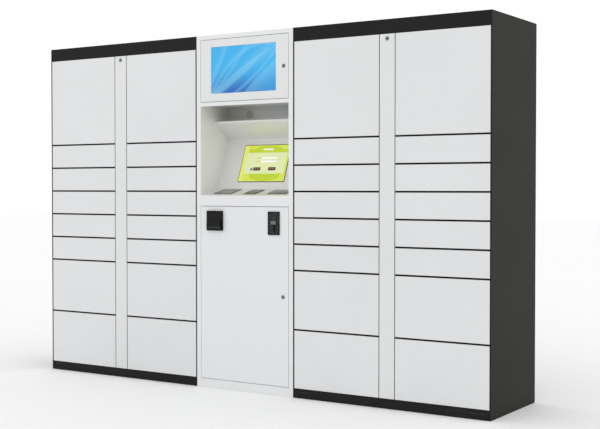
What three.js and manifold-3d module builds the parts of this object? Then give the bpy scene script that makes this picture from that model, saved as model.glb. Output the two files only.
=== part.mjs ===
// Parcel locker: a control module between two storage modules, each storage module with two
// columns of compartments behind hinged doors. Everything is folded sheet steel, in millimetres.
// +Z is up, the doors face -Y and the origin is on the floor under the middle of the locker.
import * as THREE from "three";
import { mergeVertices } from "three/addons/utils/BufferGeometryUtils.js";
import Module from "manifold-3d";

const wasm = await Module();
wasm.setup();

// Overall sizes.
const HEIGHT = 1900;
const DEPTH = 550;
const STORAGE_WIDTH = 1095;
const CONTROL_WIDTH = 625;
const MODULE_GAP = 0.5;

// Sheet and general clearances. Cuts run past a face, and joined solids into each other, by the
// overrun.
const SHEET = 1.5;
const FIT = 0.3;
const MERGE = 0.001;
const OVERRUN = 1;
const TRAY_DEPTH = 18;
const BACK_INSET = 8;

// Storage module.
const SIDE_FLANGE = 5;
const FASCIA_HEIGHT = 70;
const FASCIA_RETURN = 16;
const PLINTH_HEIGHT = 48;
const BASE_RIM = 30;
const STACK_CLEARANCE = 2;
const DOOR_SIDE_GAP = 3;
const SHELF_GAP = 8;
const MEDIUM_DOOR = 297.5;
const SMALL_DOOR = 127;
const MEDIUM_ROWS = 2;
const SMALL_ROWS = 5;
const STRIP_WIDTH = 84;
const STRIP_LOCK_DROP = 22;

// Shelves and the channel behind the strip. Its walls stand outside the strip's edges, and their
// front flanges reach in behind it.
const NOSE_HEIGHT = 5;
const NOSE_SETBACK = 0.5;
const NOSE_DEPTH = 24;
const NOSE_OVERHANG = 0.3;
const CHANNEL_OUTSIDE = 20;
const FLANGE_SETBACK = 20;
const FLANGE_INSIDE = 12;

// Hinge pins, strikers and locks of the compartments.
const DOOR_PIN_INSET = 6;
const PIN_RADIUS = 2.5;
const PIN_SIDES = 8;
const PIN_ENGAGEMENT = 2;
const PIN_ROOT = SHEET / 2;
const PIN_HOLE_CLEARANCE = 0.6;
const STRIKER_OFFSET = 7;
const STRIKER_THICKNESS = 3;
const STRIKER_HEIGHT = 14;
const STRIKER_REACH = 45;
const STRIKER_EYE = 7;
const STRIKER_EYE_END = 3.5;
const STRIKER_SIDE_ROOM = 2.5;
const STRIKER_END_ROOM = 4;
const LOCK_SETBACK = 24;
const LOCK_DEPTH = 48;
const LOCK_HEIGHT = 64;
const LOCK_WALL = 2;
const LOCK_SIDE_GAP = 1;
const LOCK_RAIL_OUTSIDE = 8;

// Control module.
const STILE = 27.5;
const TOP_RAIL = 24;
const DISPLAY_DOOR = 333.8;
const UPPER_RAIL = 22;
const LOWER_RAIL = 58;
const BOTTOM_RAIL = 48.4;
const CONTROL_GAP = 2.5;
const RETURN_DEPTH = 26;
const CONTROL_PIN_INSET = 5;
const CABLE_ENTRY_WIDTH = 90;
const CABLE_ENTRY_HEIGHT = 50;

// Display and its door.
const DISPLAY_LEFT = 69;
const DISPLAY_RIGHT = 77;
const DISPLAY_TOP = 40;
const DISPLAY_HEIGHT = 249;
const MONITOR_BORDER = 14;
const MONITOR_DEPTH = 42;

// Recess: heights down from its top, and the hood's edge back from the front plane. The console
// leans back from the vertical and the desk rises from the horizontal.
const CEILING_RISE = 5;
const CAVITY_DROP = 66;
const CAVITY_BEHIND_CONSOLE = 14.4;
const HOOD_FRONT = 129;
const HOOD_DROP = 75;
const HOOD_LIP = 11;
const CONSOLE_DROP = 168;
const CONSOLE_LEAN = THREE.MathUtils.degToRad(21.07);
const DESK_RISE = THREE.MathUtils.degToRad(13.71);

// Touch screen in the console, with the panel left above and below it along the slope.
const SCREEN_WIDTH = 305;
const SCREEN_LENGTH = 217.5;
const SCREEN_START = 39.5;
const SCREEN_FOOT = 40.6;
const SCREEN_THICKNESS = 3;
const SCREEN_ROOM = 1;
const SCREEN_HOUSING_BORDER = 14;
const SCREEN_HOUSING_DEPTH = 30;

// Readers on the desk: width, start and length along the slope from its back edge, and the place
// across it, from the nearer side wall or from the middle.
const READER_THICKNESS = 2.5;
const READER_BEVEL = 0.8;
const READER_BODY_BORDER = 8;
const READER_BODY_DEPTH = 24;
const DESK_FRONT_MARGIN = 27.7;
const LEFT_READER = { width: 124, start: 12, length: 101, margin: 58.5 };
const MIDDLE_READER = { width: 84, start: 24, length: 93, offset: 16.5 };
const RIGHT_READER = { width: 120, start: 28, length: 83, margin: 41 };

// Receipt printer on the service door.
const PRINTER_LEFT = 48;
const PRINTER_TOP = 23.5;
const PRINTER_WIDTH = 101;
const PRINTER_HEIGHT = 106;
const PRINTER_PROUD = 14;
const PRINTER_BULGE = 7;
const BULGE_START = 11;
const BULGE_HEIGHT = 38;
const PAPER_SLOT_RISE = 24;
const PAPER_SLOT_HEIGHT = 2.5;
const PRINTER_BODY_BORDER = 6;
const PRINTER_BODY_DEPTH = 75;
const COVER_SIDE = 9;
const COVER_TOP = 7;
const COVER_DEPTH = 9.5;
const COVER_GAP = 1;
const COVER_PIN_INSET = 2;
const COVER_PIN_RADIUS = 1.1;
const COVER_PIN_CLEARANCE = 0.4;
const COVER_PIN_LENGTH = 3;

// Coin acceptor on the service door.
const COIN_RIGHT = 53;
const COIN_TOP = 24;
const COIN_WIDTH = 72;
const COIN_HEIGHT = 121.5;
const COIN_PROUD = 5;
const COIN_BODY_BORDER = 6;
const COIN_BODY_DEPTH = 60;
const COIN_SLOT_OFFSET = 41;
const COIN_SLOT_WIDTH = 5;
const COIN_SLOT_RISE = 16;
const COIN_SLOT_HEIGHT = 36;
const COIN_SLOT_DEPTH = 40;
const BUTTON_OFFSET = 19;
const BUTTON_RISE = 54.5;
const BUTTON_WIDTH = 31.5;
const BUTTON_HEIGHT = 19;
const BUTTON_PROUD = 1.5;
const BUTTON_LENGTH = 9;
const BUTTON_TRAVEL = 3;
const BUTTON_GAP = 0.8;

// Cam locks.
const LOCK_FACE_RADIUS = 9.5;
const LOCK_FACE_PROUD = 1.5;
const LOCK_BARREL_RADIUS = 7.5;
const LOCK_HOLE_RADIUS = 8.2;
const ROUND_SIDES = 16;
const CAM_THICKNESS = 2;
const CAM_HALF_WIDTH = 8;
const CAM_GAP = 2.5;
const CAM_OVERLAP = 8;
const DISPLAY_LOCK_INSET = 28.4;
const SERVICE_LOCK_INSET = 32.5;

// Planes and heights that everything shares.
const FRONT = -DEPTH / 2;
const BACK = DEPTH / 2;
const PANEL_BACK = BACK - BACK_INSET;
const THROUGH_SHEET = [FRONT - OVERRUN, FRONT + SHEET + OVERRUN];
const CHANNEL_HALF = STRIP_WIDTH / 2 + CHANNEL_OUTSIDE;
const FLANGE_INNER = STRIP_WIDTH / 2 - FLANGE_INSIDE;
const LOCK_RAIL_HALF = STRIP_WIDTH / 2 + LOCK_RAIL_OUTSIDE;
const DOOR_WIDTH = (STORAGE_WIDTH - STRIP_WIDTH) / 2 - SIDE_FLANGE - 2 * DOOR_SIDE_GAP;
const STACK_TOP = HEIGHT - FASCIA_HEIGHT - STACK_CLEARANCE;
const STACK_BOTTOM = PLINTH_HEIGHT + STACK_CLEARANCE;
const CONTROL_HALF = CONTROL_WIDTH / 2;
const OPENING_HALF = CONTROL_HALF - STILE + CONTROL_GAP / 2;
const CONTROL_DOOR_HALF = OPENING_HALF - CONTROL_GAP;
const RECESS_HALF = CONTROL_HALF - STILE;

// The readers set the desk's length, the screen sets the console's, and both set the recess.
const READER_ENDS = [LEFT_READER, MIDDLE_READER, RIGHT_READER].map(({ start, length }) => start + length);
const DESK_LENGTH = Math.max(...READER_ENDS) + DESK_FRONT_MARGIN;
const CONSOLE_LENGTH = SCREEN_START + SCREEN_LENGTH + SCREEN_FOOT;
const CONSOLE_FOOT_BACK = DESK_LENGTH * Math.cos(DESK_RISE);
const CONSOLE_FOOT_RISE = DESK_LENGTH * Math.sin(DESK_RISE);
const CONSOLE_TOP_BACK = CONSOLE_FOOT_BACK + CONSOLE_LENGTH * Math.sin(CONSOLE_LEAN);
const RECESS_DEPTH = CONSOLE_TOP_BACK + CAVITY_BEHIND_CONSOLE;
const RECESS_HEIGHT = CONSOLE_DROP + CONSOLE_LENGTH * Math.cos(CONSOLE_LEAN) + CONSOLE_FOOT_RISE;
const DISPLAY_TOP_LINE = HEIGHT - TOP_RAIL;
const DISPLAY_BOTTOM_LINE = DISPLAY_TOP_LINE - DISPLAY_DOOR;
const RECESS_TOP = DISPLAY_BOTTOM_LINE - UPPER_RAIL;
const RECESS_BOTTOM = RECESS_TOP - RECESS_HEIGHT;
const SERVICE_TOP_LINE = RECESS_BOTTOM - LOWER_RAIL;

const locker = new THREE.Group();

// A closed geometry as a solid that can be joined to others and cut.
function solid(geometry) {
  const bare = geometry.clone();
  bare.deleteAttribute("normal");
  bare.deleteAttribute("uv");
  const merged = mergeVertices(bare, 1e-4);
  return new wasm.Manifold(
    new wasm.Mesh({
      numProp: 3,
      vertProperties: merged.attributes.position.array,
      triVerts: new Uint32Array(merged.index.array),
    }),
  );
}

// A solid as a named mesh in a colour and finish of its own.
function piece(name, made, colour, roughness, metalness, parent = locker) {
  const { vertProperties, triVerts } = made.asOriginal().simplify(MERGE).getMesh();
  const geometry = new THREE.BufferGeometry();
  geometry.setAttribute("position", new THREE.BufferAttribute(vertProperties, 3));
  geometry.setIndex(new THREE.BufferAttribute(triVerts, 1));
  geometry.computeVertexNormals();
  const mesh = new THREE.Mesh(
    geometry,
    new THREE.MeshStandardMaterial({ color: colour, roughness, metalness }),
  );
  mesh.name = name;
  parent.add(mesh);
  return mesh;
}

const union = (solids) => solids.reduce((sum, next) => sum.add(next));
const mid = (a, b) => (a + b) / 2;

// A rectangular block between two limits on each axis, given in either order.
function block(xs, ys, zs, matrix = new THREE.Matrix4()) {
  const size = [xs, ys, zs].map(([a, b]) => Math.abs(b - a));
  const geometry = new THREE.BoxGeometry(...size);
  geometry.translate(mid(...xs), mid(...ys), mid(...zs));
  return solid(geometry.applyMatrix4(matrix));
}

// A round bar or hole along one axis, drawn with flat sides.
function bar(axis, radius, sides, centre, from, to) {
  const geometry = new THREE.CylinderGeometry(radius, radius, Math.abs(to - from), sides);
  geometry.translate(0, mid(from, to), 0);
  if (axis === "x") geometry.rotateZ(-Math.PI / 2);
  if (axis === "z") geometry.rotateX(Math.PI / 2);
  geometry.translate(...centre);
  return solid(geometry);
}

// A door or cover folded as a tray: a front sheet with a rim turned back on its four edges.
function tray(xs, zs) {
  const inner = ([a, b]) => [a + SHEET, b - SHEET];
  const shell = block(xs, [FRONT, FRONT + TRAY_DEPTH], zs);
  return shell.subtract(block(inner(xs), [FRONT + SHEET, BACK], inner(zs)));
}

// A sheet folded along points in the side view, across the width, with its thickness to the left
// of the way the points run.
function foldedSheet(points, halfWidth) {
  const normals = points.slice(1).map((p, i) => {
    const along = p.clone().sub(points[i]).normalize();
    return new THREE.Vector2(-along.y, along.x);
  });
  const offset = points.map((p, i) => {
    const before = normals[Math.max(i - 1, 0)];
    const after = normals[Math.min(i, normals.length - 1)];
    const mitre = before.clone().add(after);
    return p.clone().addScaledVector(mitre, SHEET / (1 + before.dot(after)));
  });
  const outline = new THREE.Shape([...points, ...offset.reverse()]);
  const geometry = new THREE.ExtrudeGeometry(outline, { depth: 2 * halfWidth, bevelEnabled: false });
  geometry.translate(0, 0, -halfWidth);
  const sideView = new THREE.Matrix4().makeBasis(
    new THREE.Vector3(0, 1, 0),
    new THREE.Vector3(0, 0, 1),
    new THREE.Vector3(1, 0, 0),
  );
  return solid(geometry.applyMatrix4(sideView));
}

// Hinge pins at the top and bottom of a door, on one vertical line.
function hingePins(x, inset, [z0, z1], below, above) {
  const centre = [x, FRONT + inset, 0];
  return [
    bar("z", PIN_RADIUS, PIN_SIDES, centre, z0 - below, z0 + PIN_ROOT),
    bar("z", PIN_RADIUS, PIN_SIDES, centre, z1 - PIN_ROOT, z1 + above),
  ];
}

const pinHole = (x, inset, z0, z1) =>
  bar("z", PIN_RADIUS + PIN_HOLE_CLEARANCE, PIN_SIDES, [x, FRONT + inset, 0], z0, z1);

// A cam lock: face, barrel and a cam that hangs down behind the sheet until it is turned.
function camLock(x, z, camSetback, reach) {
  const centre = [x, 0, z];
  const camStart = FRONT + camSetback;
  const faceStart = FRONT - FIT - LOCK_FACE_PROUD;
  return union([
    bar("y", LOCK_FACE_RADIUS, ROUND_SIDES, centre, faceStart, FRONT - FIT),
    bar("y", LOCK_BARREL_RADIUS, ROUND_SIDES, centre, faceStart + OVERRUN, camStart + CAM_THICKNESS),
    block(
      [x - CAM_HALF_WIDTH, x + CAM_HALF_WIDTH],
      [camStart, camStart + CAM_THICKNESS],
      [z - reach, z + CAM_HALF_WIDTH],
    ),
  ]);
}

const lockHole = (x, z) =>
  bar("y", LOCK_HOLE_RADIUS, ROUND_SIDES, [x, 0, z], ...THROUGH_SHEET);

// Rows of compartment doors, bottom to top: medium doors, small doors and one large door that
// takes the height that is left.
const rows = [];
for (let i = 0, z = STACK_BOTTOM; i < MEDIUM_ROWS + SMALL_ROWS; i += 1) {
  const height = i < MEDIUM_ROWS ? MEDIUM_DOOR : SMALL_DOOR;
  rows.push([z, z + height]);
  z += height + SHELF_GAP;
}
rows.push([rows.at(-1)[1] + SHELF_GAP, STACK_TOP]);

const lastRow = rows.length - 1;
const shelfHeights = rows.slice(1).map(([z0]) => z0 - SHELF_GAP / 2);

// Pins reach through the small gap to the shelf nose, and further at the fascia and the plinth.
const noseGap = (SHELF_GAP - NOSE_HEIGHT) / 2;
const pinReach = (atEnd) => (atEnd ? STACK_CLEARANCE + SHEET : noseGap) + PIN_ENGAGEMENT;

// Storage module: side is -1 for the left one and 1 for the right one.
function storageModule(side, name, columnNames) {
  const nearX = side * (CONTROL_HALF + MODULE_GAP);
  const farX = nearX + side * STORAGE_WIDTH;
  const xs = [Math.min(nearX, farX), Math.max(nearX, farX)];
  const centreX = mid(...xs);

  // Each column is described from its outer side towards the strip: +1 runs to the right.
  const columns = [
    { outer: xs[0], way: 1, name: columnNames[0] },
    { outer: xs[1], way: -1, name: columnNames[1] },
  ];
  const hingeX = ({ outer, way }) => outer + way * (SIDE_FLANGE + DOOR_SIDE_GAP + DOOR_PIN_INSET);

  const wall = [FRONT, BACK];
  const fascia = [HEIGHT - FASCIA_HEIGHT, HEIGHT];
  const rimInner = [xs[0] + BASE_RIM, xs[1] - BASE_RIM];
  const shell = union([
    ...columns.map(({ outer, way }) => block([outer, outer + way * SHEET], wall, [0, HEIGHT])),
    ...columns.map(({ outer, way }) =>
      block([outer, outer + way * SIDE_FLANGE], [FRONT, FRONT + SHEET], [0, HEIGHT]),
    ),
    block(xs, [PANEL_BACK - SHEET, PANEL_BACK], [0, HEIGHT]),
    block(xs, wall, [HEIGHT - SHEET, HEIGHT]),
    block(xs, [FRONT, FRONT + SHEET], fascia),
    block(xs, [FRONT, FRONT + FASCIA_RETURN], [fascia[0], fascia[0] + SHEET]),
    block(xs, [FRONT, FRONT + SHEET], [0, PLINTH_HEIGHT]),
    block(xs, [FRONT, PANEL_BACK], [PLINTH_HEIGHT - SHEET, PLINTH_HEIGHT]),
    block(xs, wall, [0, SHEET]).subtract(
      block(rimInner, [FRONT + BASE_RIM, BACK - BASE_RIM], [-OVERRUN, SHEET + OVERRUN]),
    ),
  ]);
  const endHoles = columns.map((column) =>
    union([
      pinHole(hingeX(column), DOOR_PIN_INSET, PLINTH_HEIGHT - SHEET - OVERRUN, PLINTH_HEIGHT + OVERRUN),
      pinHole(hingeX(column), DOOR_PIN_INSET, fascia[0] - OVERRUN, fascia[0] + SHEET + OVERRUN),
    ]),
  );
  piece(`${name}_carcass`, shell.subtract(union(endHoles)), 0x3d3d38, 0.6, 0.2);

  // Across the strip's half of the module, distances run outwards from the strip's centre line.
  const fromCentre = (column, distance) => centreX - column.way * distance;
  const freeEdge = STRIP_WIDTH / 2 + DOOR_SIDE_GAP;
  const strikerSpan = [freeEdge + STRIKER_OFFSET, freeEdge + STRIKER_OFFSET + STRIKER_THICKNESS];
  const pocketSpan = [strikerSpan[0] - STRIKER_SIDE_ROOM, strikerSpan[1] + STRIKER_SIDE_ROOM];
  const spanX = (column, [a, b]) => [fromCentre(column, a), fromCentre(column, b)];
  const lockCentres = rows.map((row) => mid(...row));
  const zAround = (z, half) => [z - half, z + half];
  const pocketHalf = STRIKER_HEIGHT / 2 + STRIKER_END_ROOM;

  for (const column of columns) {
    // Rack: the channel wall with its front flange, and a shelf with a nose under each door gap.
    const wallZ = [PLINTH_HEIGHT + FIT, HEIGHT - SHEET - FIT];
    const shelfStart = column.outer + column.way * (SHEET + FIT);
    const noseStart = column.outer + column.way * (SIDE_FLANGE + FIT);
    const innerBack = PANEL_BACK - SHEET - FIT;
    const rack = union([
      block(spanX(column, [CHANNEL_HALF, CHANNEL_HALF + SHEET]), [FRONT + FLANGE_SETBACK, innerBack], wallZ),
      block(
        spanX(column, [FLANGE_INNER, CHANNEL_HALF + SHEET]),
        [FRONT + FLANGE_SETBACK, FRONT + FLANGE_SETBACK + SHEET],
        wallZ,
      ),
      ...shelfHeights.flatMap((z) => [
        block(
          [shelfStart, fromCentre(column, CHANNEL_HALF)],
          [FRONT + FLANGE_SETBACK, innerBack],
          zAround(z, SHEET / 2),
        ),
        block(
          [noseStart, fromCentre(column, freeEdge + NOSE_OVERHANG)],
          [FRONT + NOSE_SETBACK, FRONT + NOSE_DEPTH],
          zAround(z, NOSE_HEIGHT / 2),
        ),
      ]),
    ]);
    const rackHoles = union([
      ...shelfHeights.map((z) => pinHole(hingeX(column), DOOR_PIN_INSET, z - NOSE_HEIGHT, z + NOSE_HEIGHT)),
      ...lockCentres.map((z) =>
        block(
          spanX(column, pocketSpan),
          [FRONT + FLANGE_SETBACK - OVERRUN, FRONT + FLANGE_SETBACK + SHEET + OVERRUN],
          zAround(z, pocketHalf),
        ),
      ),
    ]);
    piece(`rack_${column.name}`, rack.subtract(rackHoles), 0x2c2c2c, 0.6, 0.3);

    // Doors, numbered from the bottom, with hinge pins at the outer edge and a striker opposite.
    rows.forEach(([z0, z1], row) => {
      const hingeEdge = column.outer + column.way * (SIDE_FLANGE + DOOR_SIDE_GAP);
      const doorX = [hingeEdge, hingeEdge + column.way * DOOR_WIDTH].sort((a, b) => a - b);
      const centreZ = lockCentres[row];
      const striker = block(
        spanX(column, strikerSpan),
        [FRONT + SHEET / 2, FRONT + STRIKER_REACH],
        zAround(centreZ, STRIKER_HEIGHT / 2),
      );
      const eyeEnd = FRONT + STRIKER_REACH - STRIKER_EYE_END;
      const eye = block(
        spanX(column, pocketSpan),
        [eyeEnd - STRIKER_EYE, eyeEnd],
        zAround(centreZ, STRIKER_EYE / 2),
      );
      const door = union([
        tray(doorX, [z0, z1]),
        striker.subtract(eye),
        ...hingePins(
          hingeX(column),
          DOOR_PIN_INSET,
          [z0, z1],
          pinReach(row === 0),
          pinReach(row === lastRow),
        ),
      ]);
      piece(`door_${column.name}${row + 1}`, door, 0xe0e1e2, 0.45, 0.1);
    });
  }

  // Electric locks in the channel, one behind each striker, on a rail.
  const lockX = [freeEdge, CHANNEL_HALF - LOCK_SIDE_GAP];
  const lockY = [FRONT + LOCK_SETBACK, FRONT + LOCK_SETBACK + LOCK_DEPTH];
  const housings = columns.flatMap((column) =>
    lockCentres.map((z) =>
      block(spanX(column, lockX), lockY, zAround(z, LOCK_HEIGHT / 2)).subtract(
        block(
          spanX(column, pocketSpan),
          [lockY[0] - OVERRUN, FRONT + STRIKER_REACH + STRIKER_END_ROOM],
          zAround(z, pocketHalf),
        ),
      ),
    ),
  );
  const railX = [centreX - LOCK_RAIL_HALF, centreX + LOCK_RAIL_HALF];
  const rail = block(railX, [lockY[1] - LOCK_WALL, lockY[1]], [STACK_BOTTOM, STACK_TOP]);
  piece(`${name}_lock_rail`, union([rail, ...housings]), 0x8c8f92, 0.4, 0.7);

  // Service strip, which lifts off forwards, and its cam lock.
  const lockZ = STACK_TOP - STRIP_LOCK_DROP;
  const stripX = [centreX - STRIP_WIDTH / 2, centreX + STRIP_WIDTH / 2];
  const strip = tray(stripX, [STACK_BOTTOM, STACK_TOP]).subtract(lockHole(centreX, lockZ));
  piece(`${name}_strip`, strip, 0xe3e4e5, 0.45, 0.1);
  const camSetback = FLANGE_SETBACK + SHEET + CAM_GAP;
  const plug = camLock(centreX, lockZ, camSetback, FLANGE_INNER + CAM_OVERLAP);
  piece(`${name}_strip_lock`, plug, 0x9a9da0, 0.3, 0.9);
}

storageModule(-1, "left", ["A", "B"]);
storageModule(1, "right", ["C", "D"]);

// Control module: a carcass of sheet, open at the front, and a front frame with a return round each
// door opening.
const serviceOpening = [BOTTOM_RAIL - CONTROL_GAP / 2, SERVICE_TOP_LINE + CONTROL_GAP / 2];
const displayOpening = [DISPLAY_BOTTOM_LINE - CONTROL_GAP / 2, DISPLAY_TOP_LINE + CONTROL_GAP / 2];
const grown = ([a, b], by) => [a - by, b + by];
const openingX = [-OPENING_HALF, OPENING_HALF];
const controlX = [-CONTROL_HALF, CONTROL_HALF];
const controlPinX = -CONTROL_DOOR_HALF + CONTROL_PIN_INSET;

function openingCut(zs) {
  return block(openingX, [FRONT - OVERRUN, FRONT + RETURN_DEPTH + OVERRUN], zs);
}

const insideX = grown(controlX, -SHEET);
const insideZ = [SHEET, HEIGHT - SHEET];
const cableEntry = block(
  [-CABLE_ENTRY_WIDTH / 2, CABLE_ENTRY_WIDTH / 2],
  [PANEL_BACK - SHEET - OVERRUN, BACK + OVERRUN],
  [BOTTOM_RAIL, BOTTOM_RAIL + CABLE_ENTRY_HEIGHT],
);
const controlCarcass = block(controlX, [FRONT + SHEET + FIT, BACK], [0, HEIGHT])
  .subtract(block(insideX, [FRONT, PANEL_BACK - SHEET], insideZ))
  .subtract(block(insideX, [PANEL_BACK, BACK + OVERRUN], insideZ))
  .subtract(cableEntry);
piece("control_carcass", controlCarcass, 0xeaebeb, 0.45, 0.1);

const frontPlate = block(controlX, [FRONT, FRONT + SHEET], [0, HEIGHT]);
const returns = [serviceOpening, displayOpening].map((zs) =>
  block(grown(openingX, SHEET), [FRONT, FRONT + RETURN_DEPTH], grown(zs, SHEET)),
);
const frontCuts = union([
  openingCut(serviceOpening),
  openingCut(displayOpening),
  block([-RECESS_HALF, RECESS_HALF], THROUGH_SHEET, [RECESS_BOTTOM, RECESS_TOP]),
  ...[serviceOpening, displayOpening].map(([z0, z1]) =>
    union([
      pinHole(controlPinX, CONTROL_PIN_INSET, z0 - SHEET - OVERRUN, z0 + OVERRUN),
      pinHole(controlPinX, CONTROL_PIN_INSET, z1 - OVERRUN, z1 + SHEET + OVERRUN),
    ]),
  ),
]);
piece("control_front", union([frontPlate, ...returns]).subtract(frontCuts), 0xeaebeb, 0.45, 0.1);

// Doors of the control module hang on pins at their left edge.
function controlDoor(zs) {
  const doorZ = grown(zs, -CONTROL_GAP);
  const reach = CONTROL_GAP + SHEET + PIN_ENGAGEMENT;
  return union([
    tray([-CONTROL_DOOR_HALF, CONTROL_DOOR_HALF], doorZ),
    ...hingePins(controlPinX, CONTROL_PIN_INSET, doorZ, reach, reach),
  ]);
}

// Display door: the sheet is cut out for the monitor, which is fixed to its back.
const monitorWindowX = [-CONTROL_DOOR_HALF + DISPLAY_LEFT, CONTROL_DOOR_HALF - DISPLAY_RIGHT];
const windowTop = displayOpening[1] - CONTROL_GAP - DISPLAY_TOP;
const monitorWindowZ = [windowTop - DISPLAY_HEIGHT, windowTop];
const displayLockX = CONTROL_DOOR_HALF - DISPLAY_LOCK_INSET;
const displayLockZ = mid(...displayOpening);
const displayDoor = controlDoor(displayOpening)
  .subtract(block(monitorWindowX, THROUGH_SHEET, monitorWindowZ))
  .subtract(lockHole(displayLockX, displayLockZ));
piece("display_door", displayDoor, 0xe8e9ea, 0.45, 0.1);

const monitorFront = FRONT + SHEET + FIT;
const monitor = block(
  grown(monitorWindowX, MONITOR_BORDER),
  [monitorFront, monitorFront + MONITOR_DEPTH],
  grown(monitorWindowZ, MONITOR_BORDER),
);
piece("display_monitor", monitor, 0x3f86c6, 0.15, 0);

const controlCamSetback = RETURN_DEPTH + CAM_GAP;
const camReach = (inset) => inset + CONTROL_GAP + SHEET + CAM_OVERLAP;
piece(
  "display_lock",
  camLock(displayLockX, displayLockZ, controlCamSetback, camReach(DISPLAY_LOCK_INSET)),
  0x9a9da0,
  0.3,
  0.9,
);

// Service door with the cut-outs for the printer and the coin acceptor.
const serviceDoorZ = grown(serviceOpening, -CONTROL_GAP);
const printerX = [-CONTROL_DOOR_HALF + PRINTER_LEFT, -CONTROL_DOOR_HALF + PRINTER_LEFT + PRINTER_WIDTH];
const printerZ = [serviceDoorZ[1] - PRINTER_TOP - PRINTER_HEIGHT, serviceDoorZ[1] - PRINTER_TOP];
const coinX = [CONTROL_DOOR_HALF - COIN_RIGHT - COIN_WIDTH, CONTROL_DOOR_HALF - COIN_RIGHT];
const coinZ = [serviceDoorZ[1] - COIN_TOP - COIN_HEIGHT, serviceDoorZ[1] - COIN_TOP];
const printerBodyX = grown(printerX, -PRINTER_BODY_BORDER);
const printerBodyZ = grown(printerZ, -PRINTER_BODY_BORDER);
const coinBodyX = grown(coinX, -COIN_BODY_BORDER);
const coinBodyZ = grown(coinZ, -COIN_BODY_BORDER);
const serviceLockX = CONTROL_DOOR_HALF - SERVICE_LOCK_INSET;
const serviceLockZ = mid(...serviceOpening);
const serviceDoor = controlDoor(serviceOpening)
  .subtract(block(grown(printerBodyX, 2 * FIT), THROUGH_SHEET, grown(printerBodyZ, 2 * FIT)))
  .subtract(block(grown(coinBodyX, 2 * FIT), THROUGH_SHEET, grown(coinBodyZ, 2 * FIT)))
  .subtract(lockHole(serviceLockX, serviceLockZ));
piece("service_door", serviceDoor, 0xe8e9ea, 0.45, 0.1);
piece(
  "service_lock",
  camLock(serviceLockX, serviceLockZ, controlCamSetback, camReach(SERVICE_LOCK_INSET)),
  0x9a9da0,
  0.3,
  0.9,
);

// Receipt printer: a housing through the door, with a bulge round the paper slot. Its cover is
// hinged at the top and its lower edge is the upper lip of the slot.
const housingFront = FRONT - FIT - PRINTER_PROUD;
const bulgeZ = [printerZ[0] + BULGE_START, printerZ[0] + BULGE_START + BULGE_HEIGHT];
const slotZ = [printerZ[0] + PAPER_SLOT_RISE, printerZ[0] + PAPER_SLOT_RISE + PAPER_SLOT_HEIGHT];
const coverX = grown(printerX, -COVER_SIDE);
const coverZ = [slotZ[1], printerZ[1] - COVER_TOP];
const coverBack = housingFront + COVER_DEPTH;
const coverAxisY = housingFront + COVER_PIN_INSET;
const coverAxisZ = coverZ[1] - COVER_PIN_INSET;
const printerHousing = union([
  block(printerX, [housingFront, FRONT - FIT], printerZ),
  block(grown(printerX, -COVER_SIDE / 2), [housingFront - PRINTER_BULGE, FRONT - FIT], bulgeZ),
  block(printerBodyX, [FRONT - OVERRUN, FRONT + PRINTER_BODY_DEPTH], printerBodyZ),
]);
const coverPocket = block(
  grown(coverX, COVER_GAP),
  [housingFront - PRINTER_BULGE - OVERRUN, coverBack + COVER_GAP],
  [slotZ[0], coverZ[1] + COVER_GAP],
);
const coverPinHole = bar(
  "x",
  COVER_PIN_RADIUS + COVER_PIN_CLEARANCE,
  PIN_SIDES,
  [0, coverAxisY, coverAxisZ],
  coverX[0] - COVER_GAP - COVER_PIN_LENGTH,
  coverX[1] + COVER_GAP + COVER_PIN_LENGTH,
);
piece(
  "receipt_printer",
  printerHousing.subtract(coverPocket).subtract(coverPinHole),
  0x26272a,
  0.4,
  0.1,
);
const printerCover = union([
  block(coverX, [housingFront, coverBack], coverZ),
  block(coverX, [housingFront - PRINTER_BULGE, coverBack], [coverZ[0], bulgeZ[1]]),
  bar(
    "x",
    COVER_PIN_RADIUS,
    PIN_SIDES,
    [0, coverAxisY, coverAxisZ],
    coverX[0] - COVER_PIN_LENGTH,
    coverX[1] + COVER_PIN_LENGTH,
  ),
]);
piece("printer_cover", printerCover, 0x2b2c2f, 0.35, 0.1);

// Coin acceptor: a plate on the door with its mechanism behind, a coin slot and a return button.
const coinFront = FRONT - FIT - COIN_PROUD;
const coinSlotX = coinX[0] + COIN_SLOT_OFFSET;
const buttonX = [coinX[0] + BUTTON_OFFSET, coinX[0] + BUTTON_OFFSET + BUTTON_WIDTH];
const buttonZ = [coinZ[0] + BUTTON_RISE, coinZ[0] + BUTTON_RISE + BUTTON_HEIGHT];
const buttonFront = coinFront - BUTTON_PROUD;
const coinHousing = union([
  block(coinX, [coinFront, FRONT - FIT], coinZ),
  block(coinBodyX, [FRONT - OVERRUN, FRONT + COIN_BODY_DEPTH], coinBodyZ),
]);
const coinSlot = block(
  [coinSlotX - COIN_SLOT_WIDTH / 2, coinSlotX + COIN_SLOT_WIDTH / 2],
  [coinFront - OVERRUN, coinFront + COIN_SLOT_DEPTH],
  [coinZ[0] + COIN_SLOT_RISE, coinZ[0] + COIN_SLOT_RISE + COIN_SLOT_HEIGHT],
);
const buttonPocket = block(
  grown(buttonX, BUTTON_GAP),
  [coinFront - OVERRUN, buttonFront + BUTTON_LENGTH + BUTTON_TRAVEL + BUTTON_GAP],
  grown(buttonZ, BUTTON_GAP),
);
piece("coin_acceptor", coinHousing.subtract(coinSlot).subtract(buttonPocket), 0x222324, 0.4, 0.2);
const coinButton = block(buttonX, [buttonFront, buttonFront + BUTTON_LENGTH], buttonZ);
piece("coin_button", coinButton, 0x9b9d9f, 0.4, 0.3);

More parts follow.
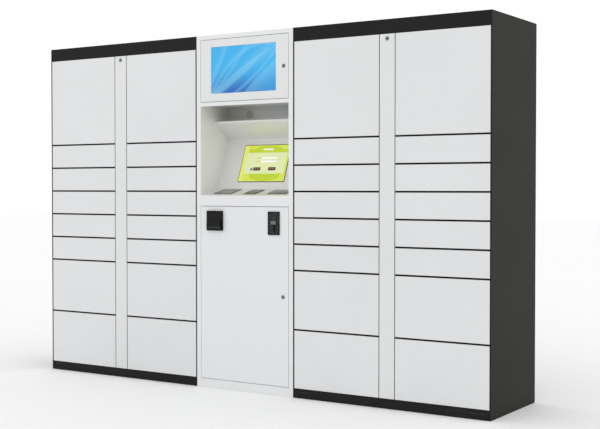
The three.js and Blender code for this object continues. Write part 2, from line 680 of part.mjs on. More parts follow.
// Recess liner: ceiling, cavity, hood, console and desk are one folded sheet between two side
// walls, cut out for the touch screen and the readers.
const sidePoint = (back, z) => new THREE.Vector2(FRONT + back, z);
const linerFront = SHEET + FIT;
const consoleTop = sidePoint(CONSOLE_TOP_BACK, RECESS_TOP - CONSOLE_DROP);
const consoleFoot = sidePoint(CONSOLE_FOOT_BACK, RECESS_BOTTOM + CONSOLE_FOOT_RISE);
const deskFront = sidePoint(0, RECESS_BOTTOM);
const consoleSlope = consoleTop.clone().sub(consoleFoot);
const deskSlope = consoleFoot.clone().sub(deskFront);
const linerSheet = foldedSheet(
  [
    sidePoint(linerFront, RECESS_TOP),
    sidePoint(RECESS_DEPTH, RECESS_TOP + CEILING_RISE),
    sidePoint(RECESS_DEPTH, RECESS_TOP - CAVITY_DROP),
    sidePoint(HOOD_FRONT, RECESS_TOP - HOOD_DROP),
    sidePoint(HOOD_FRONT, RECESS_TOP - HOOD_DROP - HOOD_LIP),
    consoleTop,
    consoleFoot,
    deskFront.clone().addScaledVector(deskSlope, linerFront / deskSlope.x),
  ],
  RECESS_HALF + SHEET / 2,
);
const linerWalls = [-1, 1].map((side) =>
  block(
    [side * RECESS_HALF, side * (RECESS_HALF + SHEET)],
    [FRONT + linerFront, FRONT + RECESS_DEPTH + SHEET],
    [RECESS_BOTTOM - 2 * SHEET, RECESS_TOP + CEILING_RISE + SHEET],
  ),
);

// A group whose flat drawing, +Y up the slope and +Z out of it, lies on a sloping sheet.
function slopeGroup(origin, slope) {
  const group = new THREE.Group();
  group.position.set(0, origin.x, origin.y);
  group.rotation.x = Math.atan2(slope.y, slope.x);
  group.updateMatrix();
  locker.add(group);
  return group;
}

const screenGroup = slopeGroup(consoleTop, consoleSlope);
const screenX = [-SCREEN_WIDTH / 2, SCREEN_WIDTH / 2];
const screenY = [-SCREEN_START - SCREEN_LENGTH, -SCREEN_START];
const deskGroup = slopeGroup(consoleFoot, deskSlope);
const deskHalf = RECESS_HALF;
const readers = [
  {
    name: "card_reader",
    left: -deskHalf + LEFT_READER.margin,
    ...LEFT_READER,
  },
  {
    name: "code_scanner",
    left: MIDDLE_READER.offset - MIDDLE_READER.width / 2,
    ...MIDDLE_READER,
  },
  {
    name: "id_reader",
    left: deskHalf - RIGHT_READER.margin - RIGHT_READER.width,
    ...RIGHT_READER,
  },
].map(({ name, left, width, start, length }) => ({
  name,
  xs: [left, left + width],
  ys: [-start - length, -start],
}));

const sheetCut = [-4 * SHEET, 4 * SHEET];
const readerBody = (range, room) => grown(range, -READER_BODY_BORDER + room);
const consoleCuts = union([
  block(grown(screenX, SCREEN_ROOM), grown(screenY, SCREEN_ROOM), sheetCut, screenGroup.matrix),
  ...readers.map(({ xs, ys }) =>
    block(readerBody(xs, 2 * FIT), readerBody(ys, 2 * FIT), sheetCut, deskGroup.matrix),
  ),
]);
piece("recess_liner", union([linerSheet, ...linerWalls]).subtract(consoleCuts), 0xd9dadb, 0.4, 0.1);

// Touch screen: the glass stands in the cut-out and its housing is behind the panel.
const housingTop = -SHEET - FIT;
const touchScreen = union([
  block(screenX, screenY, [housingTop - OVERRUN, SCREEN_THICKNESS - SHEET]),
  block(
    grown(screenX, SCREEN_HOUSING_BORDER),
    grown(screenY, SCREEN_HOUSING_BORDER),
    [housingTop - SCREEN_HOUSING_DEPTH, housingTop],
  ),
]);
piece("touch_screen", touchScreen, 0xa6c93a, 0.15, 0, screenGroup);

// Readers: a bevelled cap on the desk and a body through its cut-out.
for (const { name, xs, ys } of readers) {
  const width = xs[1] - xs[0];
  const length = ys[1] - ys[0];
  const cap = new THREE.ExtrudeGeometry(
    new THREE.Shape([
      new THREE.Vector2(-width / 2 + READER_BEVEL, -length / 2 + READER_BEVEL),
      new THREE.Vector2(width / 2 - READER_BEVEL, -length / 2 + READER_BEVEL),
      new THREE.Vector2(width / 2 - READER_BEVEL, length / 2 - READER_BEVEL),
      new THREE.Vector2(-width / 2 + READER_BEVEL, length / 2 - READER_BEVEL),
    ]),
    {
      depth: READER_THICKNESS - 2 * READER_BEVEL,
      bevelSize: READER_BEVEL,
      bevelThickness: READER_BEVEL,
      bevelSegments: 1,
    },
  );
  cap.translate(mid(...xs), mid(...ys), FIT + READER_BEVEL);
  const body = block(readerBody(xs, 0), readerBody(ys, 0), [-READER_BODY_DEPTH, FIT + READER_BEVEL]);
  piece(name, solid(cap).add(body), 0x55585b, 0.2, 0.1, deskGroup);
}

export default locker;
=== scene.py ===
"""Looks of a parcel locker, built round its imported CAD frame: metres, +Z up, doors facing -Y.
Two storage modules stand either side of a control module with a display, a recess and a screen."""

import math

import bpy
from mathutils import Matrix, Vector


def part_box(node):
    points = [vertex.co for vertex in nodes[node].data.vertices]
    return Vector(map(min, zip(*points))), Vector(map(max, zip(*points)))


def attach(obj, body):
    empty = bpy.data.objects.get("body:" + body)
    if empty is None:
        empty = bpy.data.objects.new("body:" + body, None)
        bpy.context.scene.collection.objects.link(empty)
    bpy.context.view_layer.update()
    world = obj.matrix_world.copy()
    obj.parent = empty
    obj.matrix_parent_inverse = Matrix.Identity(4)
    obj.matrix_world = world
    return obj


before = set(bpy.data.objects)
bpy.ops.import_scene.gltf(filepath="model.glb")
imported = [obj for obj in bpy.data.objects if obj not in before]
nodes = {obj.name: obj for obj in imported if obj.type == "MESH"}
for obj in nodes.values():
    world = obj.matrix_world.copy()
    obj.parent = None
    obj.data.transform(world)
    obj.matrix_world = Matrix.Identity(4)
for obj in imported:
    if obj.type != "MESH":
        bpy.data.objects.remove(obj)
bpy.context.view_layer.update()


# ------------------------------------------------------------------ Storage carcasses
# Each storage module is a box of folded sheet steel with a fascia over its doors and a plinth
# under them. It is sprayed with black powder paint, whose sides have a coarser grain and are
# painted paler than the front as painted light.


def srgb(red, green, blue):
    """A colour of 0 to 255 as the linear light that materials take."""
    shares = (channel / 255 for channel in (red, green, blue))
    light = [((s + 0.055) / 1.055) ** 2.4 if s > 0.04045 else s / 12.92 for s in shares]
    return (*light, 1.0)


class Wire:
    """A socket of a finish. Arithmetic on it adds the Math nodes that work it out."""

    def __init__(self, finish, socket):
        self.finish = finish
        self.socket = socket

    def math(self, operation, first, second=0.0):
        return self.finish.node("ShaderNodeMath", {"operation": operation}, {0: first, 1: second})

    def __add__(self, other):
        return self.math("ADD", self, other)

    def __sub__(self, other):
        return self.math("SUBTRACT", self, other)

    def __rsub__(self, other):
        return self.math("SUBTRACT", other, self)

    def __mul__(self, other):
        return self.math("MULTIPLY", self, other)

    def __lt__(self, other):
        return self.math("LESS_THAN", self, other)

    def __gt__(self, other):
        return self.math("GREATER_THAN", self, other)

    def __abs__(self):
        return self.math("ABSOLUTE", self)

    __radd__ = __add__
    __rmul__ = __mul__


class Finish:
    """A material with one Principled surface. Its inputs take numbers, colours or wires."""

    def __init__(self, name, **inputs):
        self.material = bpy.data.materials.new(name)
        self.material.use_nodes = True
        self.tree = self.material.node_tree
        self.surface = self.tree.nodes["Principled BSDF"]
        self.set(**inputs)

    def feed(self, socket, value):
        if isinstance(value, Wire):
            self.tree.links.new(value.socket, socket)
        else:
            socket.default_value = value

    def set(self, **inputs):
        for name, value in inputs.items():
            self.feed(self.surface.inputs[name.replace("_", " ")], value)

    def node(self, kind, settings=None, inputs=None, output=0):
        """Any node: its type, its settings, then what goes into its sockets."""
        made = self.tree.nodes.new(kind)
        for name, value in (settings or {}).items():
            setattr(made, name, value)
        for name, value in (inputs or {}).items():
            self.feed(made.inputs[name], value)
        return Wire(self, made.outputs[output])

    def place(self):
        """Where a point is at rest, in the locker's own frame."""
        return self.node("ShaderNodeTexCoord", output="Object")

    def axes(self):
        """The place as three wires: x, y and z."""
        split = self.node("ShaderNodeSeparateXYZ", inputs={0: self.place()})
        return [Wire(self, socket) for socket in split.socket.node.outputs]

    def stretched(self, x, y, z):
        """The place, drawn out along the axes whose factor is small."""
        settings = {"operation": "MULTIPLY"}
        return self.node("ShaderNodeVectorMath", settings, {0: self.place(), 1: (x, y, z)})

    def noise(self, scale, detail=2.0, where=None):
        inputs = {"Vector": where or self.place(), "Scale": scale, "Detail": detail}
        return self.node("ShaderNodeTexNoise", inputs=inputs)

    def step(self, value, low, high):
        """Climbs smoothly from 0 at low to 1 at high."""
        settings = {"interpolation_type": "SMOOTHSTEP"}
        inputs = {"Value": value, "From Min": low, "From Max": high}
        return self.node("ShaderNodeMapRange", settings, inputs)

    def blend(self, share, first, second):
        """Mixes two colours, which are sockets 6 and 7 of a Mix node; its third output is theirs."""
        inputs = {0: share, 6: first, 7: second}
        return self.node("ShaderNodeMix", {"data_type": "RGBA"}, inputs, output=2)

    def bump(self, height, distance):
        return self.node("ShaderNodeBump", inputs={"Height": height, "Distance": distance})


def dress(node, finish):
    """Puts a finish on a CAD node."""
    for slot in nodes[node].material_slots:
        slot.material = finish.material


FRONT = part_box("left_carcass")[0].y
SHEET = 0.0015
SCUFF_HEIGHT = 0.12


def carcass_paint():
    """Black paint: dense on the front; on the sides and top a coarser grain and an olive tint, painted
    paler there as painted light.
    """
    finish = Finish("carcass_paint", Specular_IOR_Level=0.1)
    x, y, z = finish.axes()
    front_face = y < FRONT + SHEET
    cloud = finish.noise(2.2, 4.0)
    grain = finish.noise(430.0, 2.0)
    speck = finish.step(finish.noise(900.0, 0.0), 0.66, 0.74)
    scuff = finish.step(finish.noise(30.0, 4.0, finish.stretched(0.3, 0.3, 3.0)), 0.62, 0.8)
    near_floor = 1 - finish.step(z, 0.0, SCUFF_HEIGHT)
    # The sides and top are painted paler than the front: painted light for the brighter light they
    # catch.
    side = finish.blend(cloud, srgb(31, 32, 27), srgb(41, 42, 36))
    side = finish.blend(0.2 * speck, side, srgb(78, 78, 70))
    front = finish.blend(cloud, srgb(26, 26, 26), srgb(36, 36, 36))
    paint = finish.blend(front_face, side, front)
    finish.set(
        Base_Color=finish.blend(0.35 * near_floor * scuff, paint, srgb(96, 94, 88)),
        Roughness=0.55 - 0.1 * front_face + 0.2 * (cloud - 0.5),
        Normal=finish.bump(grain, 0.00005),
    )
    return finish


carcass = carcass_paint()
for side in ("left", "right"):
    dress(f"{side}_carcass", carcass)


# ------------------------------------------------------------------ Backs of the modules
# The back panels sit inside the sheets' rear edges. They are held by pop rivets and have pressed
# louvres, with the slot of each one open downwards and drawn as a near-black strip of painted shade.


def darker(colour, by):
    """The same colour with a share of its light taken away."""
    return (*(channel * (1 - by) for channel in colour[:3]), 1.0)


def powder_coat(name, colour, roughness, peel=0.00002, drift=0.05, gloss=0.5):
    """Baked powder paint: a fine orange peel over a film that is a little uneven."""
    finish = Finish(name, Specular_IOR_Level=gloss)
    cloud = finish.noise(2.6, 3.0)
    grain = finish.noise(520.0, 2.0)
    finish.set(
        Base_Color=finish.blend(cloud, darker(colour, drift), colour),
        Roughness=roughness + 0.16 * (cloud - 0.5) + 0.1 * (grain - 0.5),
        Normal=finish.bump(grain, peel),
    )
    return finish


def rectangle(width, height, radius=0.0, steps=4):
    """A centred outline with round corners, anticlockwise."""
    corners = ((1, 1), (-1, 1), (-1, -1), (1, -1))
    if not radius:
        return [Vector((sx * width / 2, sy * height / 2)) for sx, sy in corners]
    outline = []
    for quarter, (sx, sy) in enumerate(corners):
        centre = Vector((sx * (width / 2 - radius), sy * (height / 2 - radius)))
        for step in range(steps + 1):
            turn = math.pi / 2 * (quarter + step / steps)
            outline.append(centre + radius * Vector((math.cos(turn), math.sin(turn))))
    return outline


def circle(radius, sides=24):
    turns = (2 * math.pi * i / sides for i in range(sides))
    return [Vector((radius * math.cos(t), radius * math.sin(t))) for t in turns]


def inset(outline, distance):
    """An anticlockwise outline, moved inwards."""
    moved = []
    for i, point in enumerate(outline):
        before = (point - outline[i - 1]).normalized()
        after = (outline[(i + 1) % len(outline)] - point).normalized()
        inwards = Vector((-before.y - after.y, before.x + after.x))
        moved.append(point + inwards * distance / (1 + before.dot(after)))
    return moved


def facing(right, up, origin):
    """The place of a flat drawing: its right, its up, and its third axis out of the surface."""
    right = Vector(right)
    up = Vector(up)
    basis = Matrix((right, up, right.cross(up))).transposed().to_4x4()
    basis.translation = Vector(origin)
    return basis


def on_back(x, z, y):
    return facing((-1, 0, 0), (0, 0, 1), (x, y, z))


class Shape:
    """Points and faces of one piece, gathered from prisms and rings."""

    def __init__(self):
        self.points = []
        self.faces = []
        self.finish_of = []

    def skin(self, loops, closed, finish):
        """Joins loops of points that run the same way, and caps the ends unless it closes."""
        start = len(self.points)
        count = len(loops[0])
        for loop in loops:
            self.points.extend(loop)
        faces = []
        for k in range(len(loops) if closed else len(loops) - 1):
            a = start + k * count
            b = start + (k + 1) % len(loops) * count
            for i in range(count):
                j = (i + 1) % count
                faces.append((a + i, a + j, b + j, b + i))
        if not closed:
            last = len(self.points)
            faces.append(tuple(reversed(range(start, start + count))))
            faces.append(tuple(range(last - count, last)))
        self.faces.extend(faces)
        self.finish_of.extend([finish] * len(faces))

    def prism(self, outline, place, low, high, edge=0.0, finish=0):
        """An outline raised from low to high, with its upper edge broken by a chamfer."""
        levels = [(low, 0.0), (high - edge, 0.0), (high, edge)] if edge else [(low, 0.0), (high, 0.0)]
        loops = []
        for height, inwards in levels:
            around = inset(outline, inwards) if inwards else outline
            loops.append([place @ Vector((p.x, p.y, height)) for p in around])
        self.skin(loops, False, finish)

    def ring(self, outer, inner, place, low, high, edge=0.0, finish=0):
        """A frame between two outlines with as many points, its upper edges broken."""
        levels = [
            (outer, low, 0.0),
            (outer, high - edge, 0.0),
            (outer, high, edge),
            (inner, high, -edge),
            (inner, high - edge, 0.0),
            (inner, low, 0.0),
        ]
        loops = []
        for outline, height, inwards in levels:
            loops.append([place @ Vector((p.x, p.y, height)) for p in inset(outline, inwards)])
        self.skin(loops, True, finish)

    def piece(self, name, body, slot, *finishes):
        """Makes the piece and rides it on a body. The slot argument is not used."""
        mesh = bpy.data.meshes.new(name)
        mesh.from_pydata(self.points, [], self.faces)
        for finish in finishes:
            mesh.materials.append(finish.material)
        mesh.polygons.foreach_set("material_index", self.finish_of)
        mesh.polygons.foreach_set("use_smooth", [True] * len(self.faces))
        mesh.set_sharp_from_angle(angle=math.radians(32))
        made = bpy.data.objects.new(name, mesh)
        bpy.context.collection.objects.link(made)
        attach(made, body)
        return made


BACK_INSET = 0.008
RIVET_RADIUS = 0.0034
RIVET_HEIGHT = 0.0014
RIVET_EDGE = 0.016
RIVET_PITCH = 0.18
LOUVRE_WIDTH = 0.16
LOUVRE_HEIGHT = 0.011
LOUVRE_DEPTH = 0.0055
LOUVRE_LIP = 0.14 * LOUVRE_HEIGHT
LOUVRE_PITCH = 0.021
LOUVRES_IN_BLOCK = 5
UPPER_BLOCK = 0.09
LOWER_BLOCK = 0.22
SLOT_WIDTH = 0.96 * LOUVRE_WIDTH
SLOT_OPENING = 0.0012
SLOT_THICKNESS = 0.0004


def rivet_metal():
    finish = Finish("rivet_metal", Metallic=1.0)
    dull = finish.noise(240.0, 3.0)
    finish.set(
        Base_Color=finish.blend(dull, srgb(120, 122, 124), srgb(168, 170, 172)),
        Roughness=0.32 + 0.3 * (dull - 0.5),
    )
    return finish


rivets = rivet_metal()
# Near-black paint that stands for the shade inside openings: painted shade.
painted_opening_shade = powder_coat("painted_opening_shade", srgb(8, 8, 8), 0.8)


def spread(low, high, pitch):
    """Even steps from low to high, each about one pitch."""
    steps = max(1, round((high - low) / pitch))
    return [low + (high - low) * i / steps for i in range(steps + 1)]


def riveted_edge(name, node):
    """A row of rivets just inside each edge of a module's back panel."""
    low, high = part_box(node)
    back = high.y - BACK_INSET
    xs = (low.x + RIVET_EDGE, high.x - RIVET_EDGE)
    zs = (low.z + RIVET_EDGE, high.z - RIVET_EDGE)
    spots = [(x, z) for x in xs for z in spread(*zs, RIVET_PITCH)]
    spots += [(x, z) for z in zs for x in spread(*xs, RIVET_PITCH)[1:-1]]
    heads = Shape()
    for x, z in spots:
        place = on_back(x, z, back)
        heads.prism(circle(RIVET_RADIUS, 12), place, 0.0, RIVET_HEIGHT, edge=RIVET_HEIGHT * 0.8)
    heads.piece(name, "cabinet", "lock_metal", rivets)


def louvres(name, centres, z_start, count, back, paint, slot):
    """Blocks of louvres: each a wedge pressed out of the sheet over its slot, a near-black strip of
    painted shade.
    """
    vents = Shape()
    wedge = [
        Vector((0.0, -LOUVRE_HEIGHT)),
        Vector((LOUVRE_DEPTH, -LOUVRE_HEIGHT)),
        Vector((LOUVRE_DEPTH, LOUVRE_LIP - LOUVRE_HEIGHT)),
        Vector((0.0, 0.0)),
    ]
    for x in centres:
        for i in range(count):
            z = z_start - i * LOUVRE_PITCH
            side_on = facing((0, 1, 0), (0, 0, 1), (x, back, z))
            vents.prism(wedge, side_on, -LOUVRE_WIDTH / 2, LOUVRE_WIDTH / 2)
            below = on_back(x, z - LOUVRE_HEIGHT - SLOT_OPENING / 2, back)
            # Under each wedge, a near-black strip of painted shade fills the open slot.
            vents.prism(rectangle(SLOT_WIDTH, SLOT_OPENING), below, 0.0, SLOT_THICKNESS, finish=1)
    vents.piece(name, "cabinet", slot, paint, painted_opening_shade)


for side in ("left", "right"):
    low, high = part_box(f"{side}_carcass")
    riveted_edge(f"{side}_back_rivets", f"{side}_carcass")
    quarters = [low.x + (high.x - low.x) * share for share in (0.25, 0.75)]
    panel = high.y - BACK_INSET
    for level, z in (("upper", high.z - UPPER_BLOCK), ("lower", low.z + LOWER_BLOCK)):
        name = f"{side}_{level}_louvres"
        louvres(name, quarters, z, LOUVRES_IN_BLOCK, panel, carcass, "carcass_paint")


# ------------------------------------------------------------------ Racks
# Each column's rack is a channel wall with shelves, in matt black powder paint. Shelf floors are
# rubbed where parcels slide in over them.


NOSE_DEPTH = 0.03


def rack_paint():
    finish = Finish("rack_paint", Specular_IOR_Level=0.06)
    x, y, z = finish.axes()
    cloud = finish.noise(4.0, 3.0)
    grain = finish.noise(480.0, 2.0)
    rub = finish.step(finish.noise(26.0, 3.0, finish.stretched(2.4, 0.2, 1.0)), 0.58, 0.8)
    inside = y > FRONT + NOSE_DEPTH
    paint = finish.blend(cloud, srgb(8, 8, 8), srgb(15, 15, 15))
    paint = finish.blend(0.5 * inside, paint, srgb(34, 34, 35))
    finish.set(
        Base_Color=finish.blend(0.4 * rub * inside, paint, srgb(84, 84, 84)),
        Roughness=0.62 - 0.2 * rub * inside,
        Normal=finish.bump(grain, 0.00004),
    )
    return finish


racks = rack_paint()
for column in "ABCD":
    dress(f"rack_{column}", racks)


# ------------------------------------------------------------------ Lock rails
# Behind each service strip an upright rail of zinc-plated steel carries the electric locks. Every
# lock has two screws and a small white wiring plug on its face.


def zinc_plate():
    finish = Finish("zinc_plate", Metallic=1.0)
    inputs = {"Vector": finish.place(), "Scale": 90.0}
    cells = finish.node("ShaderNodeTexVoronoi", {"feature": "F1"}, inputs, output="Color")
    tone = finish.node("ShaderNodeSeparateColor", inputs={0: cells})
    haze = finish.noise(14.0, 4.0)
    finish.set(
        Base_Color=finish.blend(0.6 * tone + 0.4 * haze, srgb(128, 131, 134), srgb(178, 181, 183)),
        Roughness=0.34 + 0.18 * tone,
        Normal=finish.bump(haze, 0.0001),
    )
    return finish


def on_front(x, z, y=FRONT):
    return facing((1, 0, 0), (0, 0, 1), (x, y, z))


def moulded(name, colour, roughness=0.4, grain=0.00001, gloss=0.5):
    """Moulded plastic with a fine spark-eroded grain."""
    finish = Finish(name, Specular_IOR_Level=gloss)
    cloud = finish.noise(9.0, 2.0)
    texture = finish.noise(1100.0, 1.0)
    finish.set(
        Base_Color=finish.blend(cloud, darker(colour, 0.12), colour),
        Roughness=roughness + 0.14 * (texture - 0.5),
        Normal=finish.bump(texture, grain),
    )
    return finish


zinc = zinc_plate()
plug_nylon = moulded("plug_nylon", srgb(224, 222, 212), 0.45)
door_boxes = {name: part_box(name) for name in nodes if name.startswith("door_")}
ROWS = range(1, 9)
LOCK_FACE = FRONT + 0.024
SCREW_RISE = 0.026
SCREW_RADIUS = 0.0024
SCREW_HEIGHT = 0.0012
PLUG_INSET = 0.0035
PLUG_RISE = 0.0175
PLUG_SIZE = (0.005, 0.008)
PLUG_HEIGHT = 0.003

for side, columns in (("left", "AB"), ("right", "CD")):
    dress(f"{side}_lock_rail", zinc)
    low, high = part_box(f"{side}_lock_rail")
    screws = Shape()
    plugs = Shape()
    for column in columns:
        for row in ROWS:
            door_low, door_high = door_boxes[f"door_{column}{row}"]
            z = (door_low.z + door_high.z) / 2
            x = low.x + PLUG_INSET if column == columns[0] else high.x - PLUG_INSET
            for rise in (-SCREW_RISE, SCREW_RISE):
                place = on_front(x, z + rise, LOCK_FACE)
                screws.prism(circle(SCREW_RADIUS, 12), place, 0.0, SCREW_HEIGHT, edge=0.0005)
            place = on_front(x, z + PLUG_RISE, LOCK_FACE)
            plugs.prism(rectangle(*PLUG_SIZE, 0.0008), place, 0.0, PLUG_HEIGHT, edge=0.0006)
    screws.piece(f"{side}_lock_screws", "cabinet", "lock_metal", rivets)
    plugs.piece(f"{side}_lock_plugs", "cabinet", "button_grey", plug_nylon)


# ------------------------------------------------------------------ Compartment doors
# Thirty-two doors, each a sheet folded back on four sides and powder-coated light grey. A steel
# striker stands behind the free edge, and a rib of hat section is bonded inside the sheet.


DOOR_RIM = 0.018
STRIKER_START = DOOR_RIM + 0.0005
PIN_REACH = 0.0035
JOINT_EDGE = 0.0005
JOINT_DEPTH = 0.005
RIB_END = 0.06
RIB_HAT = ((-0.026, 0.0), (0.026, 0.0), (0.026, 0.0012), (0.016, 0.0012), (0.011, 0.011))


def joints(low_edges, high_edges):
    """The middle and half width of every joint between one sheet's end and the next one's start."""
    pairs = zip(sorted(low_edges)[1:], sorted(high_edges)[:-1])
    return [((start + end) / 2, (start - end) / 2) for start, end in pairs]


def door_paint(name, cross_joints, upright_joints):
    """Light grey paint, darkened as painted shade in the joints between sheets, with a bare zinc striker
    behind.
    """
    finish = Finish(name, Specular_IOR_Level=0.4)
    x, y, z = finish.axes()
    # Each sheet's edge in a joint, 0.5 mm of its front and the first 5 mm of its return, is painted dark
    # grey: painted shade where the real joint only lies in shadow.
    beside = [abs(z - middle) < half + JOINT_EDGE for middle, half in cross_joints]
    beside += [abs(x - middle) < half + JOINT_EDGE for middle, half in upright_joints]
    shade = sum(beside) * (y < FRONT + JOINT_DEPTH)
    cloud = finish.noise(1.7, 3.0)
    grain = finish.noise(520.0, 2.0)
    striker = y > FRONT + STRIKER_START
    smear = finish.noise(22.0, 4.0, finish.stretched(1.0, 1.0, 0.3))
    paint = finish.blend(cloud, srgb(219, 220, 221), srgb(229, 230, 231))
    paint = finish.blend(shade, paint, srgb(40, 40, 40))
    finish.set(
        Base_Color=finish.blend(striker, paint, srgb(150, 152, 154)),
        Metallic=striker,
        Roughness=0.44 + 0.14 * (smear - 0.5) + 0.1 * (grain - 0.5),
        Normal=finish.bump(grain, 0.00002),
    )
    return finish


# A door's box ends at its hinge pins, which reach past its sheet at the top and the bottom.
rows = [door_boxes[f"door_A{row}"] for row in ROWS]
row_joints = joints(
    [low.z + PIN_REACH for low, high in rows],
    [high.z - PIN_REACH for low, high in rows],
)
strip_joints = []
for side, columns in (("left", "AB"), ("right", "CD")):
    fronts = [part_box(name) for name in (f"door_{columns[0]}1", f"{side}_strip", f"door_{columns[1]}1")]
    strip_joints += joints([low.x for low, high in fronts], [high.x for low, high in fronts])
door_coat = door_paint("door_paint", row_joints, strip_joints)
strip_coat = door_paint("strip_paint", [], strip_joints)
rib_coat = powder_coat("rib_coat", srgb(214, 215, 216), 0.5)
hat = [Vector(point) for point in RIB_HAT]
hat += [Vector((-point.x, point.y)) for point in reversed(hat[2:])]

for name, (low, high) in door_boxes.items():
    dress(name, door_coat)
    middle = (low + high) / 2
    size = high - low
    upright = size.z > size.x
    length = max(size.x, size.z) - 2 * RIB_END
    across = (1, 0, 0) if upright else (0, 0, 1)
    place = facing(across, (0, 1, 0), (middle.x, FRONT + SHEET, middle.z))
    rib = Shape()
    rib.prism(hat, place, -length / 2, length / 2)
    rib.piece(f"{name}_rib", name, "door_paint", rib_coat)


# ------------------------------------------------------------------ Service strips and cam locks
# A painted strip covers the lock channel between the two columns of each module. Its cam lock has
# a rolled collar round a turned plug with a keyway, whose shallow floor is near-black painted shade.


def plated(name, shade):
    """Metal plating with fine turning marks."""
    finish = Finish(name, Metallic=1.0)
    marks = finish.noise(800.0, 2.0)
    finish.set(
        Base_Color=finish.blend(marks, darker(shade, 0.3), shade),
        Roughness=0.3 + 0.2 * (marks - 0.5),
    )
    return finish


lock_plate = plated("lock_plate", srgb(128, 132, 138))
painted_keyway_shade = powder_coat("painted_keyway_shade", srgb(14, 14, 15), 0.7)
LOCK_FACE_RADIUS = 0.0095
COLLAR_RADIUS = 0.0099
COLLAR_BORE = 0.0066
COLLAR_HEIGHT = 0.0008
LOCK_PLUG_RADIUS = 0.0062
LOCK_PLUG_HEIGHT = 0.0006
KEYWAY = (0.0016, 0.0072)
KEYWAY_FLOOR = 0.0001


def half_disc(radius, gap, side, steps=12):
    """One side of a disc that a keyway parts."""
    start = math.asin(gap / 2 / radius)
    turns = [start + (math.pi - 2 * start) * i / steps for i in range(steps + 1)]
    outline = [Vector((radius * math.sin(t), -radius * math.cos(t))) for t in turns]
    return outline if side > 0 else [Vector((-p.x, -p.y)) for p in outline]


def cam_lock(node, door_body):
    """The collar stays on the door; the plug turns with the lock."""
    dress(node, lock_plate)
    low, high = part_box(node)
    place = on_front((low.x + high.x) / 2, high.z - LOCK_FACE_RADIUS, low.y)
    door_skin = low.y - FRONT + KEYWAY_FLOOR
    collar = Shape()
    bore = circle(COLLAR_BORE, 32)
    collar.ring(circle(COLLAR_RADIUS, 32), bore, place, door_skin, COLLAR_HEIGHT, edge=0.0005)
    collar.piece(f"{node}_collar", door_body, "lock_metal", lock_plate)
    plug = Shape()
    for way in (-1, 1):
        half = half_disc(LOCK_PLUG_RADIUS, KEYWAY[0], way)
        plug.prism(half, place, 0.0, LOCK_PLUG_HEIGHT, edge=0.0002)
    # The keyway's floor is a near-black patch of painted shade.
    plug.prism(rectangle(*KEYWAY), place, 0.0, KEYWAY_FLOOR, finish=1)
    plug.piece(f"{node}_plug", node, "lock_metal", lock_plate, painted_keyway_shade)


for side in ("left", "right"):
    dress(f"{side}_strip", strip_coat)
    cam_lock(f"{side}_strip_lock", f"{side}_strip")


# ------------------------------------------------------------------ Control carcass
# The middle module is a white powder-coated box behind a front frame, with folded returns round
# its two door openings. Its back has louvres, a fan guard and a grommet in the cable entry.


CONTROL_BLOCKS = (-0.15, 0.15)
CONTROL_BLOCK_DROP = 0.1
CONTROL_LOUVRES = 9
control_paint = powder_coat("control_paint", srgb(231, 232, 233), 0.4, drift=0.03)
grommet_rubber = moulded("grommet_rubber", srgb(26, 26, 27), 0.7, 0.00004)
dress("control_carcass", control_paint)
dress("control_front", control_paint)
low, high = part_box("control_carcass")
control_back = high.y - BACK_INSET
riveted_edge("control_back_rivets", "control_carcass")
block_top = high.z - CONTROL_BLOCK_DROP
block = (CONTROL_BLOCKS, block_top, CONTROL_LOUVRES, control_back)
louvres("control_louvres", *block, control_paint, "control_paint")

FAN_RADIUS = 0.058
FAN_DROP = 0.46
FAN_RINGS = 5
FAN_RING_PITCH = 0.0115
FAN_WIRE = 0.0022
FAN_SPOKES = 4
SPOKE_LENGTH = FAN_RADIUS + 0.002
SPOKE_CENTRE = FAN_RADIUS / 2 + 0.004
SPOKE_WIDTH = 0.003
SPOKE_TOP = 0.0032
RING_HEIGHTS = (0.003, 0.005)
FAN_HOLE_HEIGHT = 0.0003
fan = Shape()
fan_place = on_back(0.0, high.z - FAN_DROP, control_back)
for i in range(FAN_RINGS):
    outer = FAN_RADIUS - i * FAN_RING_PITCH
    fan.ring(circle(outer, 40), circle(outer - FAN_WIRE, 40), fan_place, *RING_HEIGHTS, edge=0.0006)
for i in range(FAN_SPOKES):
    turn = 2 * math.pi * (i + 0.5) / FAN_SPOKES
    spoke = fan_place @ Matrix.Rotation(turn, 4, "Z") @ Matrix.Translation((SPOKE_CENTRE, 0.0, 0.0))
    fan.prism(rectangle(SPOKE_LENGTH, SPOKE_WIDTH), spoke, 0.0, SPOKE_TOP)
# A near-black disc of painted shade fills the hole behind the guard.
fan.prism(circle(FAN_RADIUS, 40), fan_place, 0.0, FAN_HOLE_HEIGHT, finish=1)
fan.piece("fan_guard", "cabinet", "lock_metal", rivets, painted_opening_shade)

CABLE_ENTRY = Vector((0.09, 0.05))
ENTRY_CENTRE = 0.0734
GROMMET_INSIDE = Vector((0.008, 0.008))
GROMMET_OUTSIDE = Vector((0.014, 0.014))
GROMMET_HEIGHT = 0.004
grommet = Shape()
entry = on_back(0.0, ENTRY_CENTRE, control_back)
hole = rectangle(*(CABLE_ENTRY - GROMMET_INSIDE), 0.008)
lip = rectangle(*(CABLE_ENTRY + GROMMET_OUTSIDE), 0.012)
grommet.ring(lip, hole, entry, 0.0002, GROMMET_HEIGHT, edge=0.0012)
grommet.piece("cable_grommet", "cabinet", "button_grey", grommet_rubber)


# ------------------------------------------------------------------ Recess liner
# Ceiling, cavity, hood, console and desk are one folded sheet between two side walls, in a glossy
# light grey paint that mirrors the screen. A small camera looks out of the cavity's back wall.


liner_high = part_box("recess_liner")[1]
CAVITY_DROP = 0.071
CAVITY_DEPTH = 0.24


